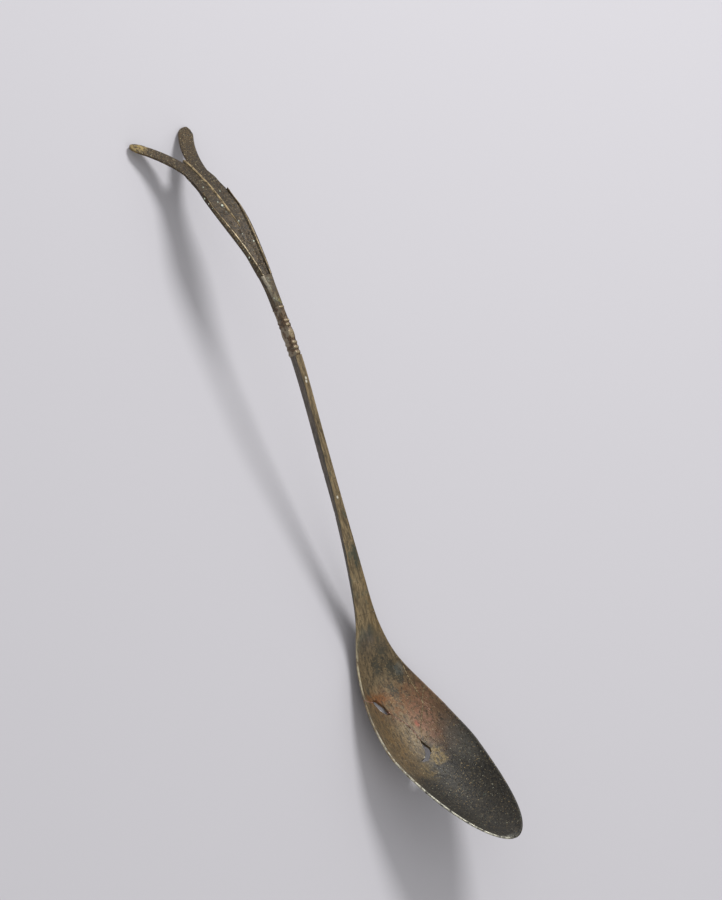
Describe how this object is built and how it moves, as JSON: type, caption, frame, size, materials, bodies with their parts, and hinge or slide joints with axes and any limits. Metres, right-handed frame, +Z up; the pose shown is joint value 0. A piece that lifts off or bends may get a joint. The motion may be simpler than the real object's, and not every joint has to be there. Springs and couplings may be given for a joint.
{
  "type": "ancient spoon",
  "caption": "Slender ancient metal spoon: thin leaf-shaped bowl, broken and mended, on an arched stem with ring mouldings and a forked flower finial.",
  "frame": {"origin": "middle of the lying spoon's footprint, on the surface that it lies on", "axes": "+Z up; +Y along the spoon from the tip of the bowl to the flower; +X to the right of the bowl"},
  "size_m": [0.0318, 0.2334, 0.0302],
  "materials": {
    "bowl_front_metal": "blackened, pitted patina with grey silvery sheen",
    "bowl_back_metal": "khaki to olive patina, streaked",
    "bowl_edge_metal": "orange-brown patina",
    "stem_metal": "tan patina with lengthwise grain and fine pits",
    "tang_metal": "unseen, plain",
    "collar_metal": "worn bright on its rings, dark in its valleys",
    "calyx_metal": "pale grey-green corrosion over bronze brown",
    "sepal_metal": "worn pale tan edge",
    "flower_metal": "dark bronze brown, granular",
    "mend_fill": "matt cream to pink adhesive in the mended breaks",
    "corrosion_crust": "matt whitish-green corrosion grains"
  },
  "bodies": {
    "root": {"bowl_front": "bowl_front_metal", "bowl_back": "bowl_back_metal", "bowl_edge_piece": "bowl_edge_metal", "stem": "stem_metal", "tang": "tang_metal", "lower_collar": "collar_metal", "barrel": "collar_metal", "upper_collar": "collar_metal", "throat": "collar_metal", "top_ring": "collar_metal", "calyx": "calyx_metal", "sepal_left": "sepal_metal", "sepal_right": "sepal_metal", "blade": "flower_metal", "midrib": "flower_metal"}
  },
  "joints": []
}
